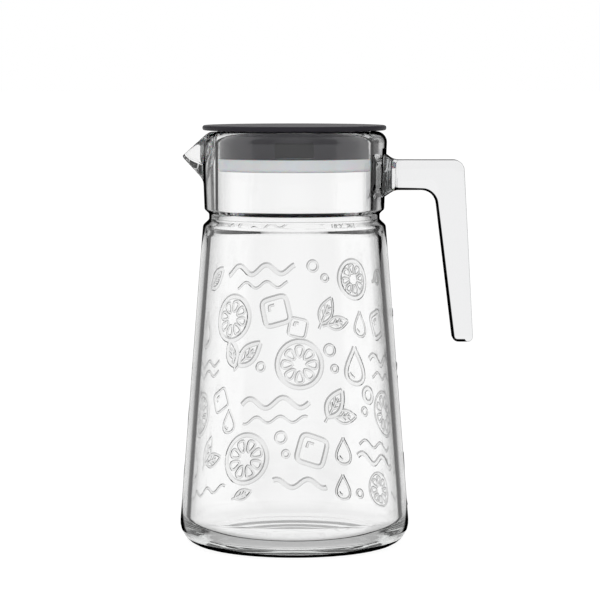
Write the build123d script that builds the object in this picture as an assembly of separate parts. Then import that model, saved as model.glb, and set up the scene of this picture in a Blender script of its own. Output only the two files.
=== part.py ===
from build123d import *
import math
import os

# A pressed glass water jug with a pinched pouring beak, an open glass handle and a turning lid.
# Millimetres. The jug stands on z = 0 with its axis on Z, the beak to -X and the handle to +X.

# Overall
TOTAL_HEIGHT = 240.0
FOOT_RADIUS = 66.65
BORE_RADIUS = 44.4

# Clearances between pieces that move on each other
DISC_TO_RIM = 0.3
SEAL_TO_BORE = 0.3
SEAL_RUNNING = 0.05
SEAL_FLOOR = 0.1

# Glass body: a cone that narrows upwards, on a rounded heel
HEEL_RADIUS = 12.9
WALL = 4.0
FLOOR_THICKNESS = 7.0
FLOOR_CORNER_RADIUS = 10.0
STANDING_RING = 10.35
PUNT_HEIGHT = 3.0

# The groove between body and neck, in levels below the rim and walls outside the bore
SHOULDER_DOWN = 53.3
SHOULDER_WALL = 7.78
SHOULDER_ROUND = 3.2
GROOVE_LOW_DOWN = 50.1
GROOVE_HIGH_DOWN = 46.7
GROOVE_WALL = 4.3
GROOVE_ROUND = 1.9

# Neck, its bore and the rim
NECK_FOOT_DOWN = 44.3
NECK_FOOT_WALL = 6.9
NECK_FOOT_ROUND = 1.6
NECK_TOP_WALL = 8.6
RIM_OUTER_ROUND = 6.4
RIM_INNER_ROUND = 1.2
BORE_FOOT_DOWN = 43.9
BORE_FOOT_ROUND = 1.2
INNER_SHOULDER_DOWN = 59.5
INNER_SHOULDER_ROUND = 12.0

# Pouring beak: pinched out of the neck, its keel rising to the tip, its lip sloping back to the rim
BEAK_REACH = 11.2
BEAK_TIP_DOWN = 14.3
BEAK_KEEL_HEIGHT = 13.2
BEAK_START_BELOW_KEEL = 4.0
BEAK_SPREAD_AT_FOOT = 0.05
BEAK_SPREAD_PER_MM = 0.0105
BEAK_NOSE = 0.55
BEAK_FLARE = 0.07
BEAK_SINK = 0.1
BEAK_ROOT_DEPTH = 15.0
LIP_START_WALL = 4.0
LIP_ROUND = 1.2
CHANNEL_WALL = 3.6
CHANNEL_FOOT_ABOVE_SEAL = 1.2
CHANNEL_SLOPE = 22.0
CHANNEL_ROOT_DEPTH = 10.4
CHANNEL_BLEND = 0.8

# Handle: a bar out of the neck and a grip that hangs from it
BAR_TOP_DOWN = 16.2
BAR_THICKNESS = 17.1
FINGER_GAP = 22.9
GRIP_LENGTH = 103.8
GRIP_THICKNESS_AT_TOP = 16.6
GRIP_THICKNESS_AT_END = 11.65
GRIP_LEAN = 10.6
HANDLE_OUTER_CORNER = 6.0
HANDLE_INNER_CORNER = 9.0
GRIP_END_CORNER = 3.0
ROOT_RUN = 4.0
ROOT_SPREAD_ABOVE = 6.7
ROOT_SPREAD_BELOW = 5.6
ROOT_SPREAD_ROUND = 9.0
HANDLE_WIDTH_AT_ROOT = 16.6
HANDLE_WIDTH_AT_END = 14.6
ROOT_WIDTH = 34.0
HANDLE_EDGE_ROUND = 2.4

# Lid: a disc with a hollow plug below it
DISC_THICKNESS = 3.2
DISC_EDGE_THICKNESS = 2.8
DISC_INSET = 0.6
DISC_TOP_ROUND = 1.3
DISC_UNDER_ROUND = 1.2
SKIRT_WALL = 2.05
SKIRT_FILLET = 1.0
WINDOW_WIDTH = 20.4
WINDOW_SILL = 0.8
WINDOW_HEAD = 6.4
WINDOW_CORNER = 0.8

# Seal: a soft channel ring pushed over the lower edge of the plug
SEAL_TOP_DOWN = 15.0
SEAL_HEIGHT = 7.1
SEAL_STANDS_PROUD = 1.65
SEAL_LOWER_ROUND = 2.0
SEAL_SMALL_ROUND = 0.5
SEAL_INNER_LEG = 1.2
SEAL_WEB = 1.8
LEDGE = 0.45

# Levels, all taken down from the rim
DISC_UNDER_Z = TOTAL_HEIGHT - DISC_THICKNESS
RIM_Z = DISC_UNDER_Z - DISC_TO_RIM
SHOULDER_Z = RIM_Z - SHOULDER_DOWN
NECK_FOOT_Z = RIM_Z - NECK_FOOT_DOWN
BEAK_TIP_Z = RIM_Z - BEAK_TIP_DOWN
KEEL_FOOT_Z = BEAK_TIP_Z - BEAK_KEEL_HEIGHT
SEAL_TOP_Z = RIM_Z - SEAL_TOP_DOWN
SEAL_BOTTOM_Z = SEAL_TOP_Z - SEAL_HEIGHT
BAR_TOP_Z = RIM_Z - BAR_TOP_DOWN
BAR_UNDER_Z = BAR_TOP_Z - BAR_THICKNESS
GRIP_END_Z = BAR_TOP_Z - GRIP_LENGTH

# Radii, all taken out from the bore or in from the foot
NECK_TOP_RADIUS = BORE_RADIUS + NECK_TOP_WALL
NECK_FOOT_RADIUS = BORE_RADIUS + NECK_FOOT_WALL
GROOVE_RADIUS = BORE_RADIUS + GROOVE_WALL
SHOULDER_RADIUS = BORE_RADIUS + SHOULDER_WALL
CONE_TAPER = (FOOT_RADIUS - SHOULDER_RADIUS) / SHOULDER_Z
PUNT_RADIUS = FOOT_RADIUS - HEEL_RADIUS - STANDING_RING
BEAK_TIP_X = NECK_TOP_RADIUS + BEAK_REACH
DISC_RADIUS = NECK_TOP_RADIUS - DISC_INSET
SEAL_RADIUS = BORE_RADIUS - SEAL_TO_BORE
SKIRT_RADIUS = SEAL_RADIUS - SEAL_STANDS_PROUD
TONGUE_OUTER = SKIRT_RADIUS - LEDGE
TONGUE_INNER = SKIRT_RADIUS - SKIRT_WALL


def cone_radius(z):
    """Outer radius of the glass body at a height."""
    return FOOT_RADIUS - CONE_TAPER * z


def neck_radius(z):
    """Outer radius of the neck at a height."""
    rise = (z - NECK_FOOT_Z) / (RIM_Z - NECK_FOOT_Z)
    return NECK_FOOT_RADIUS + (NECK_TOP_RADIUS - NECK_FOOT_RADIUS) * rise


def rounded_outline(corners):
    """Closed edges through (a, b, radius) corners, each rounded by a tangent arc of its radius."""
    edges = []
    starts = []
    ends = []
    middles = []
    count = len(corners)
    for i in range(count):
        before = Vector(*corners[i - 1][:2])
        here = Vector(*corners[i][:2])
        after = Vector(*corners[(i + 1) % count][:2])
        radius = corners[i][2]
        if radius == 0:
            starts.append(here)
            ends.append(here)
            middles.append(None)
            continue
        back = (before - here).normalized()
        ahead = (after - here).normalized()
        half = math.acos(max(-1.0, min(1.0, back.dot(ahead)))) / 2
        run = radius / math.tan(half)
        bisector = (back + ahead).normalized()
        starts.append(here + back * run)
        ends.append(here + ahead * run)
        middles.append(here + bisector * (radius / math.sin(half) - radius))
    for i in range(count):
        if middles[i] is not None:
            edges.append(ThreePointArc(starts[i], middles[i], ends[i]))
        following = starts[(i + 1) % count]
        if (following - ends[i]).length > 1e-6:
            edges.append(Line(ends[i], following))
    return edges


def revolved(corners):
    """Solid of revolution about Z from an outline of (radius, z, rounding)."""
    outline = Plane.XZ * make_face(rounded_outline(corners))
    return revolve(outline, Axis.Z, 360)


def upright_prism(corners, low, high):
    """Prism between two heights from a plan outline of (x, y, rounding)."""
    outline = Plane.XY.offset(low) * make_face(rounded_outline(corners))
    return extrude(outline, high - low)


def outer_corners():
    """Outer outline of body, groove and neck, from the axis at the foot up to the rim."""
    return [
        (0, 0, 0),
        (FOOT_RADIUS, 0, HEEL_RADIUS),
        (SHOULDER_RADIUS, SHOULDER_Z, SHOULDER_ROUND),
        (GROOVE_RADIUS, RIM_Z - GROOVE_LOW_DOWN, GROOVE_ROUND),
        (GROOVE_RADIUS, RIM_Z - GROOVE_HIGH_DOWN, GROOVE_ROUND),
        (NECK_FOOT_RADIUS, NECK_FOOT_Z, NECK_FOOT_ROUND),
        (NECK_TOP_RADIUS, RIM_Z, RIM_OUTER_ROUND),
    ]


def inner_corners():
    """Inner outline from the rim down to the floor."""
    wall_across = WALL * math.sqrt(1 + CONE_TAPER ** 2)
    shoulder = RIM_Z - INNER_SHOULDER_DOWN
    return [
        (BORE_RADIUS, RIM_Z, RIM_INNER_ROUND),
        (BORE_RADIUS, RIM_Z - BORE_FOOT_DOWN, BORE_FOOT_ROUND),
        (cone_radius(shoulder) - wall_across, shoulder, INNER_SHOULDER_ROUND),
        (cone_radius(FLOOR_THICKNESS) - wall_across, FLOOR_THICKNESS, FLOOR_CORNER_RADIUS),
        (0, FLOOR_THICKNESS, 0),
    ]


def rim_radius(z):
    """Outer radius of the neck with the rounding of the rim."""
    into_round = min(z - (RIM_Z - RIM_OUTER_ROUND), 0.97 * RIM_OUTER_ROUND)
    if into_round <= 0:
        return neck_radius(z)
    return NECK_TOP_RADIUS - RIM_OUTER_ROUND + math.sqrt(RIM_OUTER_ROUND ** 2 - into_round ** 2)


def keel_slope():
    """Reach of the keel for each millimetre it rises."""
    return (BEAK_TIP_X - neck_radius(KEEL_FOOT_Z)) / (BEAK_TIP_Z - KEEL_FOOT_Z)


def keel_x(z):
    """Distance of the keel from the axis."""
    return neck_radius(KEEL_FOOT_Z) + keel_slope() * (z - KEEL_FOOT_Z)


def channel_foot_z():
    """Height at which the floor of the channel meets the bore, just above the seal's lower edge."""
    return SEAL_BOTTOM_Z + CHANNEL_FOOT_ABOVE_SEAL


def channel_floor_x(z):
    """Distance of the channel's floor from the axis: a ramp that turns to run along the keel."""
    ramp = BORE_RADIUS + (z - channel_foot_z()) / math.tan(math.radians(CHANNEL_SLOPE))
    along_keel = keel_x(z) - CHANNEL_WALL * math.hypot(1, keel_slope())
    nearer = math.exp(-ramp / CHANNEL_BLEND) + math.exp(-along_keel / CHANNEL_BLEND)
    return -CHANNEL_BLEND * math.log(nearer)


def beak_spread(z):
    """Half angle that the beak takes up on the neck."""
    return BEAK_SPREAD_AT_FOOT + BEAK_SPREAD_PER_MM * (max(z, KEEL_FOOT_Z - 3) - KEEL_FOOT_Z)


def channel_spread(z):
    """Half angle that the channel takes up on the bore."""
    return max(beak_spread(z) - CHANNEL_WALL / NECK_TOP_RADIUS, BEAK_SPREAD_AT_FOOT)


def pinch(u):
    """Share of the beak's reach at a share of its half angle: round nose, straight flank, soft foot."""
    def share(v):
        nose = (math.hypot(v, BEAK_NOSE) - BEAK_NOSE) / (math.hypot(1, BEAK_NOSE) - BEAK_NOSE)
        return BEAK_FLARE * math.log(1 + math.exp((1 - nose) / BEAK_FLARE))
    return share(u) / share(0)


def pinched_section(z, base, reach, spread, core):
    """Plan outline at a height that leaves a round wall for a pinched nose on the -X side."""
    half_points = 10
    span = 1.5 * spread + 0.02
    outer = []
    for i in range(-half_points, half_points + 1):
        angle = math.copysign((abs(i) / half_points) ** 1.15, i) * span
        radius = base - BEAK_SINK + (reach - base) * pinch(angle / spread)
        outer.append(Vector(-radius * math.cos(angle), radius * math.sin(angle)))
    inner = [Vector(-core * math.cos(a), core * math.sin(a)) for a in (-span, 0, span)]
    edges = [
        Spline(*outer),
        Line(outer[-1], inner[2]),
        ThreePointArc(inner[2], inner[1], inner[0]),
        Line(inner[0], outer[0]),
    ]
    return Plane.XY.offset(z) * make_face(edges)


def beak_levels():
    """Heights of the beak's sections: even up to the rim's rounding, closer together through it."""
    round_start = RIM_Z - RIM_OUTER_ROUND
    low = KEEL_FOOT_Z - BEAK_START_BELOW_KEEL
    even = [low + (round_start - low) * i / 7 for i in range(8)]
    return even + [round_start + RIM_OUTER_ROUND * share for share in (0.33, 0.61, 0.8, 0.92, 1.0)]


def channel_levels():
    """Heights of the channel's sections, closer together at its floor."""
    low = channel_foot_z() - 2
    high = RIM_Z + 3.5
    return [low + (high - low) * (i / 12) ** 1.5 for i in range(13)]


def lip_height(x):
    """Height of the sloping lip at a distance from the axis."""
    start = BORE_RADIUS + LIP_START_WALL
    return RIM_Z - BEAK_TIP_DOWN * (x - start) / (BEAK_TIP_X - start)


def lip_cutter():
    """Everything above the sloping lip of the beak."""
    start = BORE_RADIUS + LIP_START_WALL
    far = 2 * BEAK_TIP_X
    face = Plane.XZ * make_face(rounded_outline([
        (-start, RIM_Z, 0),
        (-far, lip_height(far), 0),
        (-far, RIM_Z + far, 0),
        (-start, RIM_Z + far, 0),
    ]))
    return extrude(face, far, both=True)


def lies_on_lip(edge):
    """Whether an edge runs in the plane of the lip."""
    points = [edge @ share for share in (0, 0.25, 0.5, 0.75, 1)]
    return all(abs(p.Z - lip_height(-p.X)) < 0.02 for p in points)


def make_vessel():
    """Glass body, neck and pouring beak in one piece of glass."""
    glass = revolved(outer_corners() + [(0, RIM_Z, 0)])
    root = NECK_TOP_RADIUS - BEAK_ROOT_DEPTH
    glass = glass + loft([
        pinched_section(z, rim_radius(z), keel_x(z), beak_spread(z), root)
        for z in beak_levels()
    ])
    glass = glass - lip_cutter()

    above = RIM_Z + RIM_OUTER_ROUND
    glass = glass - revolved([(0, above, 0), (BORE_RADIUS, above, 0)] + inner_corners()[1:])
    root = BORE_RADIUS - CHANNEL_ROOT_DEPTH
    glass = glass - loft([
        pinched_section(z, BORE_RADIUS, channel_floor_x(z), channel_spread(z), root)
        for z in channel_levels()
    ])
    lip_edges = [edge for edge in glass.edges() if lies_on_lip(edge)]
    lip_edges = sorted(lip_edges, key=lambda edge: edge.length)[-2:]
    glass = fillet(lip_edges, LIP_ROUND)

    dome_radius = (PUNT_RADIUS ** 2 + PUNT_HEIGHT ** 2) / (2 * PUNT_HEIGHT)
    return glass - Pos(0, 0, PUNT_HEIGHT - dome_radius) * Sphere(dome_radius)


def make_handle():
    """Handle: pressed bar and grip, its root spread on the outside of the neck."""
    root_x = neck_radius(BAR_UNDER_Z) - ROOT_RUN
    blend_x = NECK_TOP_RADIUS + ROOT_RUN
    inner_x = blend_x + FINGER_GAP
    inner_end_x = inner_x + GRIP_LEAN
    outer_end_x = inner_end_x + GRIP_THICKNESS_AT_END
    side = [
        (root_x, BAR_TOP_Z + ROOT_SPREAD_ABOVE, 0),
        (blend_x, BAR_TOP_Z, ROOT_SPREAD_ROUND),
        (inner_x + GRIP_THICKNESS_AT_TOP, BAR_TOP_Z, HANDLE_OUTER_CORNER),
        (outer_end_x, GRIP_END_Z, GRIP_END_CORNER),
        (inner_end_x, GRIP_END_Z, GRIP_END_CORNER),
        (inner_x, BAR_UNDER_Z, HANDLE_INNER_CORNER),
        (blend_x, BAR_UNDER_Z, ROOT_SPREAD_ROUND),
        (root_x, BAR_UNDER_Z - ROOT_SPREAD_BELOW, 0),
    ]
    side_prism = extrude(Plane.XZ * make_face(rounded_outline(side)), ROOT_WIDTH, both=True)
    plan = [
        (root_x, -ROOT_WIDTH / 2, 0),
        (blend_x, -HANDLE_WIDTH_AT_ROOT / 2, ROOT_SPREAD_ROUND),
        (outer_end_x + 2, -HANDLE_WIDTH_AT_END / 2, 0),
        (outer_end_x + 2, HANDLE_WIDTH_AT_END / 2, 0),
        (blend_x, HANDLE_WIDTH_AT_ROOT / 2, ROOT_SPREAD_ROUND),
        (root_x, ROOT_WIDTH / 2, 0),
    ]
    handle = side_prism & upright_prism(plan, GRIP_END_Z - 5, RIM_Z)
    long_edges = [
        edge
        for edge in handle.edges()
        if abs((edge @ 0.5).Y) > HANDLE_WIDTH_AT_END / 3
        and max((edge @ 0).X, (edge @ 1).X) > root_x + 0.1
        and not ((edge @ 0.5).X < blend_x + ROOT_SPREAD_ROUND and abs((edge % 0.5).Z) > 0.99)
    ]
    handle = fillet(long_edges, HANDLE_EDGE_ROUND)
    return handle - revolved(outer_corners() + [(0, RIM_Z, 0)])


def make_lid():
    """Disc and hollow plug in one moulding, with the pour window in the plug."""
    lid = revolved([
        (0, TOTAL_HEIGHT, 0),
        (DISC_RADIUS, TOTAL_HEIGHT, DISC_TOP_ROUND),
        (DISC_RADIUS, TOTAL_HEIGHT - DISC_EDGE_THICKNESS, DISC_UNDER_ROUND),
        (SKIRT_RADIUS, DISC_UNDER_Z, SKIRT_FILLET),
        (SKIRT_RADIUS, SEAL_TOP_Z + SEAL_RUNNING, 0),
        (TONGUE_OUTER, SEAL_TOP_Z + SEAL_RUNNING, 0),
        (TONGUE_OUTER, SEAL_BOTTOM_Z + SEAL_WEB + SEAL_FLOOR, 0),
        (TONGUE_INNER, SEAL_BOTTOM_Z + SEAL_WEB + SEAL_FLOOR, 0),
        (TONGUE_INNER, DISC_UNDER_Z, SKIRT_FILLET),
        (0, DISC_UNDER_Z, 0),
    ])
    window_height = DISC_UNDER_Z - WINDOW_HEAD - WINDOW_SILL - SEAL_TOP_Z
    window = Box(WINDOW_WIDTH, SKIRT_RADIUS, window_height)
    window = fillet(window.edges().filter_by(Axis.Y), WINDOW_CORNER)
    window_z = SEAL_TOP_Z + WINDOW_SILL + window_height / 2
    return lid - Pos(0, -SKIRT_RADIUS, window_z) * window


def make_seal():
    """Soft channel ring that grips the lower edge of the plug and meets the bore."""
    return revolved([
        (SEAL_RADIUS, SEAL_TOP_Z, SEAL_SMALL_ROUND),
        (SEAL_RADIUS, SEAL_BOTTOM_Z, SEAL_LOWER_ROUND),
        (TONGUE_INNER - SEAL_INNER_LEG, SEAL_BOTTOM_Z, SEAL_SMALL_ROUND),
        (TONGUE_INNER - SEAL_INNER_LEG, SEAL_TOP_Z, 0),
        (TONGUE_INNER - SEAL_RUNNING, SEAL_TOP_Z, 0),
        (TONGUE_INNER - SEAL_RUNNING, SEAL_BOTTOM_Z + SEAL_WEB, 0),
        (TONGUE_OUTER + SEAL_RUNNING, SEAL_BOTTOM_Z + SEAL_WEB, 0),
        (TONGUE_OUTER + SEAL_RUNNING, SEAL_TOP_Z, 0),
    ])


os.makedirs("parts", exist_ok=True)
export_step(make_vessel(), "parts/glass_vessel.step")
export_step(make_handle(), "parts/glass_handle.step")
export_step(make_lid(), "parts/lid.step")
export_step(make_seal(), "parts/seal_ring.step")
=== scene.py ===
import math

import bpy
import numpy as np
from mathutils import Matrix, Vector


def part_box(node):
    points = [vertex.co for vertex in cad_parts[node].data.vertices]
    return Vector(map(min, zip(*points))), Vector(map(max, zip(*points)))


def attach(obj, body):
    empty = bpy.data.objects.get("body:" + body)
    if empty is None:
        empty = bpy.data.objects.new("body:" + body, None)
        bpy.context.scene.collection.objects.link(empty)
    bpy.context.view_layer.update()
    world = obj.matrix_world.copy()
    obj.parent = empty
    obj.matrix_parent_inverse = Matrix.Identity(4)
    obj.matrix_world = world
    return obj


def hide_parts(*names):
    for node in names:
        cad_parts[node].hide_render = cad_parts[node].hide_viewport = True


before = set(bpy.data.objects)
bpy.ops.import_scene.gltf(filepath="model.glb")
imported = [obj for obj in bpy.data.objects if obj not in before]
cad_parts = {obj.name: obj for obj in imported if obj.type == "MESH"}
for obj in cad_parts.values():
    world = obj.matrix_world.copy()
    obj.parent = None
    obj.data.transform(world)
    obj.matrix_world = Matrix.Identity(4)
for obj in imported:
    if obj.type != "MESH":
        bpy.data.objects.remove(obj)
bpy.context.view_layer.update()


# Jug: one piece of pressed soda-lime glass, blown open in a turned mould, with the beak pinched
# out of the neck and the lip fire polished. The bar and grip of the handle are pressed on hot
# and melt into the neck, so glass and handle are made here as one closed skin.
MM = 0.001
vessel_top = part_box("glass_vessel")[1]
seal_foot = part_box("seal_ring")[0]
RIM_Z = vessel_top.z / MM
FOOT_RADIUS = 66.65
HEEL_ROUND = 12.9
WALL = 4.0
FLOOR_THICKNESS = 7.0
FLOOR_ROUND = 10.0
PUNT_RADIUS = 43.4
PUNT_HEIGHT = 3.0
SHOULDER = (52.18, RIM_Z - 53.3, 3.2)
taper_of_body = (FOOT_RADIUS - SHOULDER[0]) / SHOULDER[1]
GROOVE_LOW = (48.7, RIM_Z - 50.1, 1.9)
GROOVE_HIGH = (48.7, RIM_Z - 46.7, 1.9)
NECK_FOOT = (51.3, RIM_Z - 44.3, 1.6)
NECK_TOP_RADIUS = 53.0
RIM_OUTER_ROUND = 6.4
RIM_INNER_ROUND = 1.2
BORE_RADIUS = 44.4
BORE_FOOT = (BORE_RADIUS, RIM_Z - 43.9, 1.2)
INNER_SHOULDER_Z = RIM_Z - 59.5
INNER_SHOULDER_ROUND = 12.0

# The beak starts below its keel's foot, and its channel just above the seal's lower edge
PLAIN_NECK_Z = RIM_Z - 31.5
KEEL_FOOT_Z = RIM_Z - 27.5
BEAK_TIP_X = 64.2
BEAK_TIP_Z = RIM_Z - 14.3
LIP_START_X = BORE_RADIUS + 4.0
LIP_ROUND = 1.2
CHANNEL_WALL = 3.6
CHANNEL_FOOT_Z = seal_foot.z / MM + 1.2
CHANNEL_SLOPE = math.radians(22)
KEEL_SOFTNESS = 0.9
CHANNEL_SOFTNESS = 0.45
CHANNEL_BEND_SOFTNESS = 0.8
LIP_SOFTNESS = 0.5
SPREAD_START_Z = KEEL_FOOT_Z - 3
SPREAD_AT_FOOT = 0.05
SPREAD_PER_MM = 0.0105
LEAST_CHANNEL_SPREAD = 0.05


def neck_radius(z):
    """Outer radius of the plain neck at a height."""
    rise = (z - NECK_FOOT[1]) / (RIM_Z - NECK_FOOT[1])
    return NECK_FOOT[0] + (NECK_TOP_RADIUS - NECK_FOOT[0]) * rise


KEEL_SLOPE = (BEAK_TIP_X - neck_radius(KEEL_FOOT_Z)) / (BEAK_TIP_Z - KEEL_FOOT_Z)


def keel_x(z):
    """Distance of the keel from the axis."""
    return neck_radius(KEEL_FOOT_Z) + KEEL_SLOPE * (z - KEEL_FOOT_Z)


def soft_least(a, b, softness):
    """The smaller of two values, with a rounded change from one to the other."""
    return -softness * np.logaddexp(-a / softness, -b / softness)


def soft_excess(value, softness):
    """A value above zero, or zero, with a rounded change."""
    return softness * np.logaddexp(0, value / softness)


def pinch(share):
    """Share of the beak's reach at a share of its half angle: round nose, straight flank, soft foot."""
    nose_size = 0.55
    flare = 0.07

    def height(v):
        nose = (np.hypot(v, nose_size) - nose_size) / (math.hypot(1, nose_size) - nose_size)
        return flare * np.logaddexp(0, (1 - nose) / flare)
    return height(share) / height(0)


def beak_spread(z):
    """Half angle that the beak takes up on the neck."""
    return SPREAD_AT_FOOT + SPREAD_PER_MM * (np.maximum(z, SPREAD_START_Z) - KEEL_FOOT_Z)


def outer_radius(angle, z):
    """Radius of the neck's outside, beak included."""
    reach = soft_excess(keel_x(z) - neck_radius(z), KEEL_SOFTNESS)
    return neck_radius(z) + reach * pinch(angle / beak_spread(z))


def bore_radius(angle, z):
    """Radius of the neck's bore, pouring channel included."""
    ramp = BORE_RADIUS + (z - CHANNEL_FOOT_Z) / math.tan(CHANNEL_SLOPE)
    along_keel = keel_x(z) - CHANNEL_WALL * math.hypot(1, KEEL_SLOPE)
    depth = soft_least(ramp, along_keel, CHANNEL_BEND_SOFTNESS) - BORE_RADIUS
    reach = soft_excess(depth, CHANNEL_SOFTNESS)
    spread = np.maximum(beak_spread(z) - CHANNEL_WALL / NECK_TOP_RADIUS, LEAST_CHANNEL_SPREAD)
    return BORE_RADIUS + reach * pinch(angle / spread)


def lip_height(x):
    """Height of the rim, and of the lip that slopes down from it along the beak."""
    slope = RIM_Z - (RIM_Z - BEAK_TIP_Z) * (x - LIP_START_X) / (BEAK_TIP_X - LIP_START_X)
    return soft_least(np.full_like(x, RIM_Z), slope, LIP_SOFTNESS)


def height_at_lip(radius_at, angle):
    """Height at which a wall of the neck meets the lip, for each angle."""
    halvings = 40
    low = np.full_like(angle, PLAIN_NECK_Z)
    high = np.full_like(angle, RIM_Z + 1)
    for halving in range(halvings):
        middle = (low + high) / 2
        below = middle < lip_height(radius_at(angle, middle) * np.cos(angle))
        low = np.where(below, middle, low)
        high = np.where(below, high, middle)
    return low


def rounded_corner(start, corner, end, shares):
    """Points on the round arc that leaves start and reaches end along the sides of a corner."""
    back = start - corner
    ahead = end - corner
    cosine = (back * ahead).sum(-1) / np.linalg.norm(back, axis=-1) / np.linalg.norm(ahead, axis=-1)
    pull = np.sqrt((1 - cosine) / 2)[..., None]
    points = []
    for t in shares:
        weights = (1 - t) ** 2, 2 * pull * t * (1 - t), t ** 2
        points.append((weights[0] * start + weights[1] * corner + weights[2] * end) / sum(weights))
    return points


def rounded_path(corners, steps=8, longest=14.0):
    """Open path through (a, b, rounding) corners, its long runs divided."""
    points = [np.array(corners[0][:2], float)]
    for before, here, after in zip(corners, corners[1:], corners[2:]):
        corner = np.array(here[:2], float)
        back = np.array(before[:2], float) - corner
        ahead = np.array(after[:2], float) - corner
        back /= np.linalg.norm(back)
        ahead /= np.linalg.norm(ahead)
        run = here[2] / math.tan(math.acos(float(back @ ahead)) / 2)
        shares = np.linspace(0, 1, steps + 1)
        points += rounded_corner(corner + back * run, corner, corner + ahead * run, shares)
    points.append(np.array(corners[-1][:2], float))
    path = [points[0]]
    for point in points[1:]:
        count = max(1, math.ceil(np.linalg.norm(point - path[-1]) / longest))
        start = path[-1]
        path += [start + (point - start) * i / count for i in range(1, count + 1)]
    return np.array(path)


def closed_mesh(name, rows):
    """Mesh over rings of points, in millimetres, each ring closed on itself, with capped ends."""
    points = np.array(rows, float)
    count, around = points.shape[:2]
    vertices = [tuple(p) for p in (points * MM).reshape(-1, 3)]
    faces = []
    for i in range(count - 1):
        for j in range(around):
            k = (j + 1) % around
            faces.append((i * around + j, i * around + k, (i + 1) * around + k, (i + 1) * around + j))
    for ring, flipped in ((0, True), (count - 1, False)):
        vertices.append(tuple(points[ring].mean(0) * MM))
        for j in range(around):
            pair = (ring * around + j, ring * around + (j + 1) % around)
            faces.append((*(pair[::-1] if flipped else pair), len(vertices) - 1))
    mesh = bpy.data.meshes.new(name)
    mesh.from_pydata(vertices, [], faces)
    signed = 0.0
    for face in mesh.polygons:
        signed += face.center.dot(face.normal) * face.area
    if signed < 0:
        mesh.flip_normals()
    mesh.shade_smooth()
    piece = bpy.data.objects.new(name, mesh)
    bpy.context.scene.collection.objects.link(piece)
    return piece


def make_vessel():
    """The jug without its handle, on columns that stand closer together at the beak."""
    beak_half = 0.5
    beak_columns = 90
    other_columns = 200
    dome_levels = 10
    neck_levels = 37
    lip_levels = 13
    inner_lip_levels = 7
    bore_levels = 41
    pole_radius = 0.5
    round_fade = 2.5
    angle = np.concatenate([
        np.linspace(-beak_half, beak_half, beak_columns, endpoint=False),
        np.linspace(beak_half, 2 * math.pi - beak_half, other_columns, endpoint=False),
    ])
    angle = (angle + math.pi) % (2 * math.pi) - math.pi
    dome_radius = (PUNT_RADIUS ** 2 + PUNT_HEIGHT ** 2) / (2 * PUNT_HEIGHT)
    dome_r = np.linspace(pole_radius, PUNT_RADIUS, dome_levels)
    dome = np.stack([dome_r, np.sqrt(dome_radius ** 2 - dome_r ** 2) - dome_radius + PUNT_HEIGHT], 1)
    outside = rounded_path([
        (PUNT_RADIUS, 0, 0),
        (FOOT_RADIUS, 0, HEEL_ROUND),
        SHOULDER,
        GROOVE_LOW,
        GROOVE_HIGH,
        NECK_FOOT,
        (neck_radius(PLAIN_NECK_Z), PLAIN_NECK_Z, 0),
    ])
    inner_foot = FOOT_RADIUS - WALL * math.hypot(1, taper_of_body)
    bore_start_z = CHANNEL_FOOT_Z - 3
    inside = rounded_path([
        (BORE_RADIUS, bore_start_z, 0),
        BORE_FOOT,
        (inner_foot - taper_of_body * INNER_SHOULDER_Z, INNER_SHOULDER_Z, INNER_SHOULDER_ROUND),
        (inner_foot - taper_of_body * FLOOR_THICKNESS, FLOOR_THICKNESS, FLOOR_ROUND),
        (pole_radius, FLOOR_THICKNESS, 0),
    ])

    top = height_at_lip(outer_radius, angle)
    bore_top = height_at_lip(bore_radius, angle)
    outer_corner = np.stack([outer_radius(angle, top), top], 1)
    inner_corner = np.stack([bore_radius(angle, bore_top), bore_top], 1)
    along = inner_corner - outer_corner
    along /= np.linalg.norm(along, axis=1)[:, None]
    beak_share = pinch(angle / beak_spread(top))
    rim_share = np.clip(1 - round_fade * beak_share, 0, 1) ** 2
    rounding = LIP_ROUND + (RIM_OUTER_ROUND - LIP_ROUND) * rim_share
    below = top - rounding
    outer_start = np.stack([outer_radius(angle, below), below], 1)
    outer_end = outer_corner + along * rounding[:, None]
    inner_start = inner_corner - along * RIM_INNER_ROUND
    bore_below = bore_top - RIM_INNER_ROUND
    inner_end = np.stack([bore_radius(angle, bore_below), bore_below], 1)

    def ring(path_point):
        return np.tile(path_point, (len(angle), 1))

    profile = [ring(p) for p in dome] + [ring(p) for p in outside[1:]]
    for share in np.linspace(0, 1, neck_levels)[1:-1]:
        z = PLAIN_NECK_Z + (below - PLAIN_NECK_Z) * share
        profile.append(np.stack([outer_radius(angle, z), z], 1))
    profile += rounded_corner(outer_start, outer_corner, outer_end, np.linspace(0, 1, lip_levels))
    profile.append((outer_end + inner_start) / 2)
    inner_shares = np.linspace(0, 1, inner_lip_levels)
    profile += rounded_corner(inner_start, inner_corner, inner_end, inner_shares)
    for share in np.linspace(0, 1, bore_levels)[1:-1]:
        z = bore_below + (bore_start_z - bore_below) * share
        profile.append(np.stack([bore_radius(angle, z), z], 1))
    profile += [ring(p) for p in inside]
    rows = []
    for level in profile:
        radius = level[:, 0]
        rows.append(np.stack([-radius * np.cos(angle), radius * np.sin(angle), level[:, 1]], 1))
    return closed_mesh("glass_jug", rows)


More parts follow.
